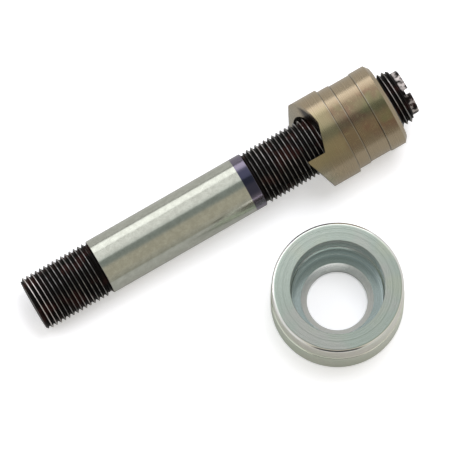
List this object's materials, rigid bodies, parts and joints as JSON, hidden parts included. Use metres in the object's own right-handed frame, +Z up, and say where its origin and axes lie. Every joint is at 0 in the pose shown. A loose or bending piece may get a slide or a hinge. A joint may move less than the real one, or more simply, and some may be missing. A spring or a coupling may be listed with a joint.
{
  "type": "knockout punch",
  "caption": "Knockout punch: slug-splitting punch with stepped cutting lobes on a threaded draw stud, and its cup-shaped die beside it, for cutting round holes in sheet metal",
  "frame": {"origin": "middle of the set's bounding box, on the bench that it lies on", "axes": "+X along the draw stud towards its slotted end, -Y towards the die, +Z up"},
  "size_m": [0.1414, 0.0836, 0.0308],
  "materials": {
    "stud_steel": "bright turned shank, black oxide threads",
    "punch_steel": "yellow chromate over zinc, turned",
    "die_steel": "clear zinc, turned"
  },
  "bodies": {
    "die": {"die": "die_steel"},
    "draw_stud": {"draw_stud": "stud_steel"},
    "punch": {"punch": "punch_steel"}
  },
  "joints": [
    {"name": "stud_turn", "type": "hinge", "parent": "die", "child": "draw_stud", "pos_m": [-0.07022, 0.02658, 0.00943], "axis": [0.9986, 0, 0.0534], "range_deg": [-5400, 6120]},
    {"name": "punch_feed", "type": "slide", "parent": "die", "child": "punch", "axis": [-0.9986, 0, -0.0534], "range_m": [-0.0239, 0.0271]}
  ],
  "couplings": [
    {"joint": "punch_feed", "follows": "stud_turn", "m_per_rad": 0.00025266}
  ]
}
